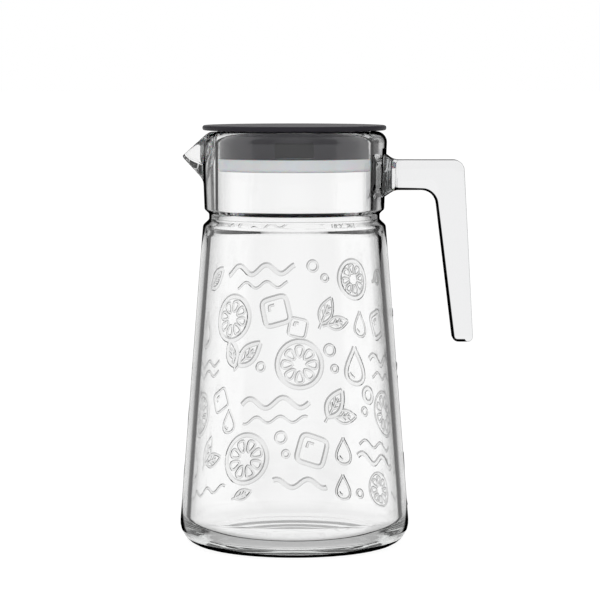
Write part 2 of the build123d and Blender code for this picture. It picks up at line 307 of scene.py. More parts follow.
BAR_TOP_Z = RIM_Z - 16.2
BAR_UNDER_Z = BAR_TOP_Z - 17.1
ROOT_X = neck_radius(BAR_UNDER_Z) - 4.0
BLEND_X = NECK_TOP_RADIUS + 4.0
GRIP_INNER_X = BLEND_X + 22.9
GRIP_TOP_THICKNESS = 16.6
GRIP_END_THICKNESS = 11.65
GRIP_LEAN = 10.6
GRIP_END_Z = BAR_TOP_Z - 103.8
GRIP_OUTER_ROUND = 6.0
GRIP_INNER_ROUND = 9.0
ROOT_FLARE_UP = 6.7
ROOT_FLARE_DOWN = 5.6
ROOT_ROUND = 9.0
ROOT_HALF_WIDTH = 17.0
BAR_HALF_WIDTH = 8.3
END_HALF_WIDTH = 7.3
EDGE_ROUND = 2.4
END_ROUND = 3.0


def handle_section(outer, inner, half_width, edge):
    """Ring of points: a rectangle with rounded corners between an outer and an inner point."""
    corner_steps = 6
    up = outer - inner
    half_height = np.linalg.norm(up) / 2
    up = up / (2 * half_height)
    centre = (outer + inner) / 2
    ring = []
    for corner in range(4):
        side_u = (1, -1, -1, 1)[corner]
        side_w = (1, 1, -1, -1)[corner]
        for step in range(corner_steps + 1):
            turn = math.radians(90 * (corner + step / corner_steps))
            u = side_u * (half_height - edge) + edge * math.cos(turn)
            w = side_w * (half_width - edge) + edge * math.sin(turn)
            ring.append((centre[0] + up[0] * u, w, centre[1] + up[1] * u))
        straight = half_height if corner in (0, 2) else half_width
        for share in (1 / 3, 2 / 3):
            offset = (straight - edge) * (1 - 2 * share)
            u = side_u * offset if corner in (0, 2) else side_u * half_height
            w = side_w * half_width if corner in (0, 2) else side_w * offset
            ring.append((centre[0] + up[0] * u, w, centre[1] + up[1] * u))
    return ring


def make_handle():
    """Bar and grip, as rounded sections between an outer and an inner line."""
    long_run = 12
    long_run_steps = 10
    bend_steps = 14
    undivided = 200
    outer_line = rounded_path([
        (ROOT_X, BAR_TOP_Z + ROOT_FLARE_UP, 0),
        (BLEND_X, BAR_TOP_Z, ROOT_ROUND),
        (GRIP_INNER_X + GRIP_TOP_THICKNESS, BAR_TOP_Z, GRIP_OUTER_ROUND),
        (GRIP_INNER_X + GRIP_LEAN + GRIP_END_THICKNESS, GRIP_END_Z, 0),
    ], steps=bend_steps, longest=undivided)
    inner_line = rounded_path([
        (ROOT_X, BAR_UNDER_Z - ROOT_FLARE_DOWN, 0),
        (BLEND_X, BAR_UNDER_Z, ROOT_ROUND),
        (GRIP_INNER_X, BAR_UNDER_Z, GRIP_INNER_ROUND),
        (GRIP_INNER_X + GRIP_LEAN, GRIP_END_Z, 0),
    ], steps=bend_steps, longest=undivided)
    width_line = rounded_path([
        (ROOT_X, ROOT_HALF_WIDTH, 0),
        (BLEND_X, BAR_HALF_WIDTH, ROOT_ROUND),
        (GRIP_INNER_X + GRIP_LEAN + GRIP_END_THICKNESS + 2, END_HALF_WIDTH, 0),
    ], steps=bend_steps, longest=undivided)
    sections = []
    for i in range(len(outer_line) - 1):
        steps = long_run_steps if np.linalg.norm(outer_line[i + 1] - outer_line[i]) > long_run else 1
        for step in range(steps):
            share = step / steps
            outer = outer_line[i] + (outer_line[i + 1] - outer_line[i]) * share
            inner = inner_line[i] + (inner_line[i + 1] - inner_line[i]) * share
            half_width = np.interp((outer[0] + inner[0]) / 2, width_line[:, 0], width_line[:, 1])
            sections.append((outer, inner, half_width))
    outer = outer_line[-1]
    inner = inner_line[-1]
    down_outer = (outer_line[-1] - outer_line[-2]) / np.linalg.norm(outer_line[-1] - outer_line[-2])
    down_inner = (inner_line[-1] - inner_line[-2]) / np.linalg.norm(inner_line[-1] - inner_line[-2])
    across = (outer - inner) / np.linalg.norm(outer - inner)
    rings = [handle_section(a, b, w, EDGE_ROUND) for a, b, w in sections]
    for degrees in (0, 15, 30, 45, 60, 75, 90):
        rise = END_ROUND * (1 - math.sin(math.radians(degrees)))
        shrink = END_ROUND * (1 - math.cos(math.radians(degrees)))
        a = outer - down_outer * rise - across * shrink
        b = inner - down_inner * rise + across * shrink
        half_width = END_HALF_WIDTH - EDGE_ROUND * (1 - math.cos(math.radians(degrees)))
        edge = EDGE_ROUND * (0.25 + 0.75 * math.cos(math.radians(degrees)))
        rings.append(handle_section(a, b, half_width, edge))
    return closed_mesh("handle_form", rings)


def fuse(piece, other):
    """Joins two closed solids into one skin, with no wall left inside."""
    union = piece.modifiers.new(other.name, "BOOLEAN")
    union.operation = "UNION"
    union.solver = "MANIFOLD"
    union.object = other
    bpy.context.view_layer.update()
    evaluated = piece.evaluated_get(bpy.context.evaluated_depsgraph_get())
    fused = bpy.data.meshes.new_from_object(evaluated)
    piece.modifiers.clear()
    piece.data = fused
    bpy.data.objects.remove(other)


def linear(code):
    """An sRGB hex colour as linear red, green, blue and alpha."""
    values = [int(code[i:i + 2], 16) / 255 for i in (1, 3, 5)]
    shades = [v / 12.92 if v <= 0.04045 else ((v + 0.055) / 1.055) ** 2.4 for v in values]
    return (*shades, 1.0)


def add_node(tree, kind, links=None, values=None, stops=(), **properties):
    """Adds a node. Links and values go to its inputs, by name or number, and stops to a grey ramp."""
    node = tree.nodes.new(kind)
    for name, value in properties.items():
        setattr(node, name, value)
    for name, value in (values or {}).items():
        node.inputs[name].default_value = value
    for name, socket in (links or {}).items():
        tree.links.new(socket, node.inputs[name])
    if stops:
        elements = node.color_ramp.elements
        while len(elements) < len(stops):
            elements.new(1.0)
        for element, (place, light) in zip(elements, stops):
            element.position = place
            element.color = (light, light, light, 1)
    return node


def new_material(name):
    """An empty node material and its output node."""
    material = bpy.data.materials.new(name)
    material.use_nodes = True
    material.node_tree.nodes.clear()
    output = add_node(material.node_tree, "ShaderNodeOutputMaterial")
    return material, material.node_tree, output


# Relief: citrus slices, leaves, drops, ice, bubbles and waves stand proud of the wall on the side
# away from the pour window, cut into the mould as flat-topped lines with sloping flanks. They are
# drawn here on a flat sheet, by degrees round the jug and by height in millimetres.
RELIEF_STEP = 1.15
fine_lines = []
bold_lines = []


def add_line(group, centre, points, closed=False):
    """Adds a line of (across, up) points in millimetres about a (degrees, height) centre."""
    radius = FOOT_RADIUS - taper_of_body * centre[1]
    flat = np.array(points, float)
    if closed:
        flat = np.vstack([flat, flat[:1]])
    travel = np.concatenate([[0], np.cumsum(np.linalg.norm(np.diff(flat, axis=0), axis=1))])
    count = max(3, round(travel[-1] / RELIEF_STEP))
    at = np.linspace(0, travel[-1], count + 1)
    flat = np.stack([np.interp(at, travel, flat[:, 0]), np.interp(at, travel, flat[:, 1])], 1)
    if closed:
        flat = flat[:-1]
    turn = math.radians(centre[0]) + flat[:, 0] / radius
    group.append((np.stack([turn, centre[1] + flat[:, 1]], 1), closed))


def turned(points, degrees):
    """Points turned about their centre."""
    c = math.cos(math.radians(degrees))
    s = math.sin(math.radians(degrees))
    return np.array(points, float) @ np.array([[c, s], [-s, c]])


def softened(points, rounds=3):
    """A closed line with its corners cut round."""
    points = np.array(points, float)
    for cut in range(rounds):
        ahead = np.roll(points, -1, axis=0)
        pairs = np.stack([points * 0.75 + ahead * 0.25, points * 0.25 + ahead * 0.75], 1)
        points = pairs.reshape(-1, 2)
    return points


def add_bubble(group, centre, radius):
    """A ring."""
    turns = np.linspace(0, 2 * math.pi, 33)[:-1]
    add_line(group, centre, radius * np.stack([np.cos(turns), np.sin(turns)], 1), True)


def add_citrus(group, centre, radius, tilt):
    """A slice: the peel as a ring, and wedges drawn by (share of the radius, turn) corners."""
    wedges = 8
    corners = [(0.17, 0.0), (0.76, -0.30), (0.82, 0.0), (0.76, 0.30)]
    add_bubble(group, centre, radius)
    for wedge in range(wedges):
        middle = math.radians(tilt + 360 / wedges * wedge)
        outline = []
        for far, off in corners:
            turn = middle + off
            outline.append((radius * far * math.cos(turn), radius * far * math.sin(turn)))
        add_line(fine_lines, centre, softened(outline), True)


def add_leaf(group, centre, length, tilt):
    """Two bowed edges, a rib with its stalk, and two pairs of veins."""
    share = np.linspace(0, 1, 25)
    bulge = 0.27 * length * np.sin(math.pi * share) ** 0.8 * (1.15 - 0.45 * share)
    stalk = -0.22 * length
    rib_end = 0.72 * length
    for side in (1, -1):
        add_line(group, centre, turned(np.stack([length * share, side * bulge], 1), tilt))
    add_line(fine_lines, centre, turned([(stalk, 0), (rib_end, 0)], tilt))
    for start in (0.3, 0.5):
        for side in (1, -1):
            vein = [(length * start, 0), (length * (start + 0.17), side * 0.15 * length)]
            add_line(fine_lines, centre, turned(vein, tilt))


def add_drop(group, centre, height):
    """Two sides that swell from a point and cross under the foot, and a short glint inside."""
    turn = np.linspace(0.0, math.pi + 0.12, 30)
    half = 0.47 * height * np.sin(turn) * np.sin(turn / 2) ** 1.6
    for side in (1, -1):
        add_line(group, centre, np.stack([side * half, height / 2 * np.cos(turn)], 1))
    glint = np.linspace(3.5, 4.5, 8)
    glint_radius = 0.22 * height
    glint_z = -0.12 * height
    shine = np.stack([glint_radius * np.cos(glint), glint_radius * np.sin(glint) + glint_z], 1)
    add_line(fine_lines, centre, shine)


def add_ice(group, centre, side, tilt):
    """A square with round corners, and an angled glint inside."""
    half = side / 2
    turns = np.linspace(0, 2 * math.pi, 65)[:-1]
    square = [half * np.sign(wave) * np.abs(wave) ** 0.36 for wave in (np.cos(turns), np.sin(turns))]
    glint = [(-half * 0.45, half * 0.1), (-half * 0.45, half * 0.5), (0, half * 0.5)]
    add_line(group, centre, turned(np.stack(square, 1), tilt), True)
    add_line(fine_lines, centre, turned(glint, tilt))


def add_wave(group, centre, width, height, length):
    """A run of even waves."""
    across = np.linspace(-width / 2, width / 2, 4 * round(width))
    add_line(group, centre, np.stack([across, height * np.sin(2 * math.pi * across / length)], 1))


# The rows of motifs, from the shoulder down to the heel
add_leaf(bold_lines, (-70, 146), 17, 35)
add_wave(bold_lines, (-24, 154), 46, 2.72, 19.4)
add_wave(fine_lines, (-22, 145), 34, 1.87, 14.4)
add_bubble(fine_lines, (12, 156), 3.2)
add_bubble(fine_lines, (20, 149), 2.1)
add_citrus(bold_lines, (42, 149), 11.0, 10)
add_leaf(fine_lines, (66, 150), 15, 20)

add_drop(bold_lines, (-74, 122), 20)
add_citrus(bold_lines, (-43, 126), 13.0, 30)
add_ice(bold_lines, (-12, 129), 16, 14)
add_ice(fine_lines, (2, 119), 11, -12)
add_leaf(fine_lines, (17, 122), 17, 65)
add_leaf(fine_lines, (21, 121), 15, 12)
add_drop(fine_lines, (46, 123), 15)
add_ice(bold_lines, (66, 124), 14, 20)
add_wave(fine_lines, (86, 133), 16, 1.7, 11.2)

add_wave(fine_lines, (-70, 101), 34, 1.87, 15.6)
add_wave(fine_lines, (-70, 95), 34, 1.87, 15.6)
add_leaf(bold_lines, (-36, 98), 19, 40)
add_leaf(bold_lines, (-40, 98), 16, 105)
add_bubble(fine_lines, (-21, 96), 2.6)
add_citrus(bold_lines, (3, 97), 14.0, 0)
add_bubble(fine_lines, (22, 106), 3.4)
add_bubble(fine_lines, (25, 95), 2.2)
add_drop(bold_lines, (40, 98), 22)
add_wave(bold_lines, (72, 103), 38, 2.55, 18.8)
add_wave(fine_lines, (72, 94), 34, 1.7, 13.8)

add_citrus(bold_lines, (-74, 72), 12.0, 12)
add_ice(fine_lines, (-50, 78), 12, 24)
add_drop(fine_lines, (-42, 65), 14)
add_wave(bold_lines, (-12, 74), 44, 3.06, 21.9)
add_wave(fine_lines, (-12, 64), 42, 1.95, 15.6)
add_leaf(bold_lines, (20, 66), 19, 58)
add_leaf(fine_lines, (24, 66), 16, 5)
add_bubble(bold_lines, (50, 81), 4.2)
add_bubble(fine_lines, (46, 71), 2.4)
add_citrus(fine_lines, (68, 72), 13.0, 22)

add_drop(bold_lines, (-80, 44), 19)
add_leaf(fine_lines, (-64, 42), 17, 62)
add_leaf(fine_lines, (-61, 42), 15, 8)
add_citrus(bold_lines, (-29, 41), 14.5, 20)
add_bubble(fine_lines, (-8, 53), 3.4)
add_bubble(fine_lines, (-5, 43), 2.2)
add_ice(bold_lines, (10, 45), 17, -16)
add_drop(fine_lines, (29, 46), 16)
add_wave(fine_lines, (56, 52), 34, 1.95, 15.6)
add_wave(bold_lines, (56, 43), 38, 2.72, 20.0)
add_leaf(fine_lines, (80, 40), 15, 50)

add_wave(fine_lines, (-62, 25), 44, 1.95, 15.6)
add_leaf(fine_lines, (-35, 18), 12, 15)
add_wave(bold_lines, (3, 25), 34, 2.55, 20.0)
add_drop(fine_lines, (28, 24), 15)
add_bubble(fine_lines, (39, 21), 2.4)
add_citrus(fine_lines, (56, 25), 10.5, 5)
add_wave(fine_lines, (80, 24), 22, 1.87, 14.4)


def relief_tree():
    """Geometry Nodes: lays drawn lines on the wall and gives them a flat top with sloping flanks."""
    tree = bpy.data.node_groups.new("relief_on_wall", "GeometryNodeTree")
    socket = tree.interface.new_socket
    socket(name="Lines", in_out="INPUT", socket_type="NodeSocketGeometry")
    for name in ("Foot Radius", "Taper", "Top Width", "Base Width", "Height"):
        socket(name=name, in_out="INPUT", socket_type="NodeSocketFloat")
    socket(name="Finish", in_out="INPUT", socket_type="NodeSocketMaterial")
    socket(name="Relief", in_out="OUTPUT", socket_type="NodeSocketGeometry")
    given = add_node(tree, "NodeGroupInput").outputs
    curve = add_node(tree, "GeometryNodeMeshToCurve", {"Mesh": given["Lines"]})
    drawn = add_node(tree, "GeometryNodeInputPosition")
    parts = add_node(tree, "ShaderNodeSeparateXYZ", {0: drawn.outputs[0]})
    narrowing = add_node(tree, "ShaderNodeMath", {
        0: parts.outputs["Z"], 1: given["Taper"]}, operation="MULTIPLY")
    radius = add_node(tree, "ShaderNodeMath", {
        0: given["Foot Radius"], 1: narrowing.outputs[0]}, operation="SUBTRACT")
    across = add_node(tree, "ShaderNodeMath", {0: parts.outputs["X"]}, operation="SINE")
    back = add_node(tree, "ShaderNodeMath", {0: parts.outputs["X"]}, operation="COSINE")
    outward = add_node(tree, "ShaderNodeCombineXYZ", {"X": across.outputs[0], "Y": back.outputs[0]})
    reach = add_node(tree, "ShaderNodeVectorMath", {
        0: outward.outputs[0], "Scale": radius.outputs[0]}, operation="SCALE")
    level = add_node(tree, "ShaderNodeCombineXYZ", {"Z": parts.outputs["Z"]})
    wrapped = add_node(tree, "ShaderNodeVectorMath", {
        0: reach.outputs[0], 1: level.outputs[0]}, operation="ADD")
    laid = add_node(tree, "GeometryNodeSetPosition", {
        "Geometry": curve.outputs[0], "Position": wrapped.outputs[0]})
    place = add_node(tree, "GeometryNodeInputPosition")
    flat_place = add_node(tree, "ShaderNodeVectorMath", {0: place.outputs[0]}, {1: (1, 1, 0)},
                          operation="MULTIPLY")
    facing = add_node(tree, "ShaderNodeVectorMath", {0: flat_place.outputs[0]}, operation="NORMALIZE")
    upright = add_node(tree, "GeometryNodeSetCurveNormal", {
        "Curve": laid.outputs[0], "Normal": facing.outputs[0]}, mode="FREE")
    section = add_node(tree, "GeometryNodeCurvePrimitiveQuadrilateral", {
        "Height": given["Height"],
        "Bottom Width": given["Base Width"],
        "Top Width": given["Top Width"],
    }, {"Offset": 0.0}, mode="TRAPEZOID")
    section_out = add_node(tree, "GeometryNodeTransform", {"Geometry": section.outputs[0]},
                           {"Rotation": (0.0, 0.0, -math.pi / 2)})
    swept = add_node(tree, "GeometryNodeCurveToMesh", {
        "Curve": upright.outputs[0], "Profile Curve": section_out.outputs[0]}, {"Fill Caps": True})
    island = add_node(tree, "GeometryNodeInputMeshIsland")
    apart = add_node(tree, "GeometryNodeSplitToInstances", {
        "Geometry": swept.outputs[0], "Group ID": island.outputs["Island Index"]}, domain="POINT")
    joined = add_node(tree, "GeometryNodeMeshBoolean", {
        "Mesh 2": apart.outputs["Instances"]}, operation="UNION", solver="MANIFOLD")
    real = add_node(tree, "GeometryNodeRealizeInstances", {"Geometry": joined.outputs["Mesh"]})
    finished = add_node(tree, "GeometryNodeSetMaterial", {
        "Geometry": real.outputs[0], "Material": given["Finish"]})
    result = tree.nodes.new("NodeGroupOutput")
    tree.links.new(finished.outputs[0], result.inputs[0])
    return tree


def make_relief(name, group, tree, finish, top_width, base_width, depth):
    """The lines of one group as a plain closed mesh, half of its depth proud of the wall."""
    vertices = []
    edges = []
    for points, closed in group:
        first = len(vertices)
        vertices += [(turn, 0.0, height * MM) for turn, height in points]
        edges += [(first + i, first + i + 1) for i in range(len(points) - 1)]
        if closed:
            edges.append((len(vertices) - 1, first))
    mesh = bpy.data.meshes.new(name)
    mesh.from_pydata(vertices, edges, [])
    piece = bpy.data.objects.new(name, mesh)
    bpy.context.scene.collection.objects.link(piece)
    layer = piece.modifiers.new("relief", "NODES")
    layer.node_group = tree
    given = {
        "Foot Radius": FOOT_RADIUS * MM,
        "Taper": taper_of_body,
        "Top Width": top_width * MM,
        "Base Width": base_width * MM,
        "Height": depth * MM,
        "Finish": finish,
    }
    for item in tree.interface.items_tree:
        if item.name in given:
            layer[item.identifier] = given[item.name]
    bpy.context.view_layer.update()
    made = bpy.data.meshes.new_from_object(piece.evaluated_get(bpy.context.evaluated_depsgraph_get()))
    piece.modifiers.clear()
    piece.data = made
    return piece


# Soda-lime glass, pressed and fire polished: colourless when thin, with a clean hard gloss and a faint
# grey-green tint in its body. Its colour is darkened towards its edges by painted shade, where the
# surface turns away from the view. Lamp light passes through, so its shadow is pale.
glass_finish, tree, output = new_material("pressed_soda_lime_glass")
turned_away = add_node(tree, "ShaderNodeLayerWeight", values={"Blend": 0.5})
facing = turned_away.outputs["Facing"]
# Painted shade: the glass goes grey where its surface turns away from the view, and nearly black along
# the outline
soft_edge = add_node(tree, "ShaderNodeValToRGB", {"Fac": facing}, stops=[
    (0.40, 1.0), (0.51, 0.92), (0.585, 0.80), (0.65, 0.56), (0.72, 0.44), (1.0, 0.46)])
outline = add_node(tree, "ShaderNodeValToRGB", {"Fac": facing}, stops=[
    (0.40, 1.0), (0.50, 0.84), (0.594, 0.55), (0.677, 0.26), (0.71, 0.12), (0.75, 0.003), (0.80, 0.0)])

# The flanks of the relief are shaded as if lit from above and from one side, so that its lines read
# from every side
space = add_node(tree, "ShaderNodeTexCoord")
sidewise = add_node(tree, "ShaderNodeVectorMath", {0: space.outputs["Object"]}, {1: (0, 0, 1)},
                    operation="CROSS_PRODUCT")
along_wall = add_node(tree, "ShaderNodeVectorMath", {0: sidewise.outputs[0]}, operation="NORMALIZE")
down_side = add_node(tree, "ShaderNodeVectorMath", {0: along_wall.outputs[0]}, {1: (0, 0, -1.1)},
                     operation="ADD")
tilt = add_node(tree, "ShaderNodeVectorMath", {
    0: space.outputs["Normal"], 1: down_side.outputs[0]}, operation="DOT_PRODUCT")
lean = add_node(tree, "ShaderNodeMath", {0: tilt.outputs["Value"]}, {1: 0.5, 2: 0.5},
                operation="MULTIPLY_ADD")
relief_shade = add_node(tree, "ShaderNodeValToRGB", {"Fac": lean.outputs[0]}, stops=[
    (0.24, 0.52), (0.36, 0.68), (0.43, 0.80), (0.55, 0.80), (0.62, 0.48), (0.73, 0.20), (0.80, 0.16)])

# The painted edge shade of the body, with each other painted shade laid over it where the jug's mask of
# that name is
wall = soft_edge.outputs["Color"]
for mask_name, shade in (("outline", outline), ("relief", relief_shade)):
    mask = add_node(tree, "ShaderNodeAttribute", attribute_name=mask_name)
    mixed = add_node(tree, "ShaderNodeMix", {
        0: mask.outputs["Fac"], 6: wall, 7: shade.outputs["Color"]}, data_type="RGBA")
    wall = mixed.outputs[2]
# Painted light on the inner floor lifts the edge shade there to near white; painted shade darkens the
# handle's root and, faintly, the handle
for mask_name, colour in (("inner_floor", "#F9F9F9"), ("root_handle_shade", "#000050")):
    mask = add_node(tree, "ShaderNodeAttribute", attribute_name=mask_name)
    mixed = add_node(tree, "ShaderNodeMix", {
        0: mask.outputs["Fac"], 6: wall}, {7: linear(colour)}, data_type="RGBA")
    wall = mixed.outputs[2]
glass = add_node(tree, "ShaderNodeBsdfPrincipled", {"Base Color": wall}, {
    "Roughness": 0.0,
    "IOR": 1.52,
    "Transmission Weight": 1.0,
})

# A thin near-black line of painted shade runs where the surface turns away, from the turn that the mask
# line_from gives, and where the inside of the glass starts to turn light back whole
line_from = add_node(tree, "ShaderNodeAttribute", attribute_name="line_from")
line_full = add_node(tree, "ShaderNodeMath", {0: line_from.outputs["Fac"]}, {1: 0.05}, operation="ADD")
line = add_node(tree, "ShaderNodeMapRange", {
    "Value": facing,
    "From Min": line_from.outputs["Fac"],
    "From Max": line_full.outputs[0],
})
total_turn = add_node(tree, "ShaderNodeValToRGB", {"Fac": facing}, stops=[
    (0.231, 0.0), (0.238, 1.0), (0.253, 1.0), (0.260, 0.0)])
side = add_node(tree, "ShaderNodeNewGeometry")
from_inside = add_node(tree, "ShaderNodeMath", {
    0: total_turn.outputs["Color"], 1: side.outputs["Backfacing"]}, operation="MULTIPLY")
bore_mask = add_node(tree, "ShaderNodeAttribute", attribute_name="bore_line")
bore_line = add_node(tree, "ShaderNodeMix", {
    0: bore_mask.outputs["Fac"], 6: line.outputs[0], 7: from_inside.outputs[0]}, data_type="RGBA")
dark = add_node(tree, "ShaderNodeMath", {
    0: bore_line.outputs[2], 1: line.outputs[0]}, operation="MAXIMUM")
near_black = add_node(tree, "ShaderNodeBsdfDiffuse", values={"Color": linear("#050505")})
lined = add_node(tree, "ShaderNodeMixShader", {
    0: dark.outputs[0], 1: glass.outputs[0], 2: near_black.outputs[0]})
clear = add_node(tree, "ShaderNodeBsdfTransparent", values={"Color": linear("#F4F6F5")})
path = add_node(tree, "ShaderNodeLightPath")
surface = add_node(tree, "ShaderNodeMixShader", {
    0: path.outputs["Is Shadow Ray"], 1: lined.outputs[0], 2: clear.outputs[0]})
tree.links.new(surface.outputs[0], output.inputs["Surface"])
tint = add_node(tree, "ShaderNodeVolumeAbsorption", values={
    "Color": linear("#E2E4E3"), "Density": 10.0})
tree.links.new(tint.outputs[0], output.inputs["Volume"])

glass_jug = make_vessel()
glass_jug.data.materials.append(glass_finish)
handle_form = make_handle()
handle_form.data.materials.append(glass_finish)
wrap = relief_tree()
fine_relief = make_relief("fine_relief", fine_lines, wrap, glass_finish,
                          top_width=0.55, base_width=3.15, depth=0.7)
bold_relief = make_relief("bold_relief", bold_lines, wrap, glass_finish,
                          top_width=1.7, base_width=5.1, depth=0.9)
for form in (handle_form, fine_relief, bold_relief):
    fuse(glass_jug, form)
CREASE = math.radians(24)
glass_jug.data.shade_smooth()
glass_jug.data.set_sharp_from_angle(angle=CREASE)


def read_field(items, field):
    """A field of every vertex or face, as rows of three."""
    values = np.empty(len(items) * 3, np.float32)
    items.foreach_get(field, values)
    return values.reshape(-1, 3)


# Where each place of the jug lies, in millimetres
SKIN = 2
HOLLOW_TOP_Z = INNER_SHOULDER_Z + 8
HEEL_CORNER_TOP = 16
FOOT_RIM_TOP = 5
place = read_field(glass_jug.data.vertices, "co") / MM
height = place[:, 2]
reach = np.hypot(place[:, 0], place[:, 1])
body_radius = FOOT_RADIUS - taper_of_body * height
on_body = reach > body_radius - SKIN
in_body = (height > FLOOR_THICKNESS - 1) & (height < HOLLOW_TOP_Z) & (reach < body_radius - SKIN)
on_floor = in_body & (height < FLOOR_THICKNESS + 2)
in_bore = (height >= HOLLOW_TOP_Z) & (reach < BORE_RADIUS + 1)
is_handle = (place[:, 0] > NECK_TOP_RADIUS + 4) & (height > GRIP_END_Z - 1) & (reach > body_radius + 3)
outer_neck = (height > SHOULDER[1] - 6) & ~in_bore & ~in_body & ~is_handle
heel_corner = on_body & (height < HEEL_CORNER_TOP)
foot_rim = (reach > PUNT_RADIUS + 4) & (height < FOOT_RIM_TOP)
root = outer_neck & (place[:, 0] > ROOT_X + 1) & (np.abs(place[:, 1]) < ROOT_HALF_WIDTH)
root &= (height > BAR_UNDER_Z - 6) & (height < BAR_TOP_Z + 7) & (place[:, 0] < NECK_TOP_RADIUS + 2.6)
grip_share = (BAR_TOP_Z - height) / (BAR_TOP_Z - GRIP_END_Z)
grip_middle = GRIP_INNER_X + GRIP_TOP_THICKNESS / 2 + GRIP_LEAN * grip_share
under_bar = (height < (BAR_TOP_Z + BAR_UNDER_Z) / 2) & (place[:, 0] < GRIP_INNER_X + 3)
hand_side = is_handle & (under_bar | ((place[:, 0] < grip_middle) & (height < BAR_UNDER_Z)))
sideways = np.abs(read_field(glass_jug.data.vertices, "normal")[:, 1])
grip_corner = hand_side & (sideways > 0.2) & (sideways < 0.99)

# The turn of the surface, of 1, from which each place shows its painted near-black line, later rows on
# top
NO_LINE = 2.0
line_rows = (
    (on_body, 0.90),
    (heel_corner, 0.72),
    (foot_rim, 0.53),
    (in_body, 0.79),
    (on_floor, NO_LINE),
    (in_bore, 0.80),
    (outer_neck, 0.73),
    (root, 0.5),
    (is_handle, 0.75),
    (grip_corner, 0.08),
)
line_from = np.full(len(place), NO_LINE)
for where, turn in line_rows:
    line_from[where] = turn

# The painted outline shade is full on the neck, fades in down the heel, and is light on the handle. The
# painted lighter shade of the inner floor fades out up its rounding. The handle's root and the handle
# take painted dark shade.
HEEL_FADE_TOP = 34
HEEL_FADE = 22
FLOOR_FADE_TOP = FLOOR_THICKNESS + 9
FLOOR_FADE = 6
HANDLE_OUTLINE = 0.3
PAINTED_ROOT_SHADE = 0.45
PAINTED_HANDLE_SHADE = 0.08
heel = np.clip((HEEL_FADE_TOP - height) / HEEL_FADE, 0, 1) * on_body
outline_mask = np.where(outer_neck, 1.0, np.where(is_handle, HANDLE_OUTLINE, heel)) * ~in_body
inner_floor = np.clip((FLOOR_FADE_TOP - height) / FLOOR_FADE, 0, 1) * in_body

# The relief stands proud of the wall on the far side, clear of the heel and shoulder
RELIEF_LOW_Z = 8
RELIEF_HIGH_Z = SHOULDER[1] - 8
LEAST_PROUD = 0.05
MOST_PROUD = 1
centres = read_field(glass_jug.data.polygons, "center") / MM
proud = np.hypot(centres[:, 0], centres[:, 1]) - (FOOT_RADIUS - taper_of_body * centres[:, 2])
raised = (proud > LEAST_PROUD) & (proud < MOST_PROUD) & (centres[:, 1] > 0)
raised &= (centres[:, 2] > RELIEF_LOW_Z) & (centres[:, 2] < RELIEF_HIGH_Z)
for mask_name, domain, mask in (
        ("relief", "FACE", raised),
        ("outline", "POINT", outline_mask),
        ("inner_floor", "POINT", inner_floor),
        ("root_handle_shade", "POINT", np.where(root, PAINTED_ROOT_SHADE, is_handle * PAINTED_HANDLE_SHADE)),
        ("bore_line", "POINT", in_body | in_bore),
        ("line_from", "POINT", line_from)):
    layer = glass_jug.data.attributes.new(mask_name, "FLOAT", domain)
    layer.data.foreach_set("value", np.asarray(mask, np.float32))
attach(glass_jug, "jug")
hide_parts("glass_vessel", "glass_handle")


# Lid: a disc with a hollow plug below it, one injection moulding in dark grey polypropylene,
# pressed into the neck by hand and turned to bring its window round to the beak.
# Moulded polypropylene has a satin skin with faint clouds in its grey. Its grain is drawn coarser
# than the real one, so that it can show.
GRAIN = 0.385
CLOUD = 22.2
lid_finish, tree, output = new_material("moulded_polypropylene")
place = add_node(tree, "ShaderNodeTexCoord")
grain = add_node(tree, "ShaderNodeTexNoise", {"Vector": place.outputs["Object"]}, {
    "Scale": 1 / (GRAIN * MM), "Detail": 3.0})
bump = add_node(tree, "ShaderNodeBump", {"Height": grain.outputs["Fac"]}, {
    "Strength": 0.12, "Distance": 0.00006})
cloud = add_node(tree, "ShaderNodeTexNoise", {"Vector": place.outputs["Object"]}, {
    "Scale": 1 / (CLOUD * MM), "Detail": 2.0})
shade = add_node(tree, "ShaderNodeMix", {0: cloud.outputs["Fac"]}, {
    6: linear("#2B292F"), 7: linear("#302E34")}, data_type="RGBA")
plastic = add_node(tree, "ShaderNodeBsdfPrincipled", {
    "Base Color": shade.outputs[2],
    "Normal": bump.outputs["Normal"],
}, {
    "Roughness": 0.5,
    "IOR": 1.49,
    "Specular IOR Level": 0.12,
})
tree.links.new(plastic.outputs[0], output.inputs["Surface"])
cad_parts["lid"].data.materials.clear()
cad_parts["lid"].data.materials.append(lid_finish)


# Seal: a soft translucent channel ring, moulded in a milky elastomer and pushed over the lower
# edge of the plug, where it rubs on the bore of the neck.
# The elastomer is milky, with a soft light under its satin skin.
seal_finish, tree, output = new_material("moulded_elastomer")
rubber = add_node(tree, "ShaderNodeBsdfPrincipled", values={
    "Base Color": linear("#DFE0E3"),
    "Roughness": 0.5,
    "IOR": 1.41,
    "Subsurface Weight": 0.6,
    "Subsurface Scale": 0.002,
})
tree.links.new(rubber.outputs[0], output.inputs["Surface"])
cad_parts["seal_ring"].data.materials.clear()
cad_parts["seal_ring"].data.materials.append(seal_finish)


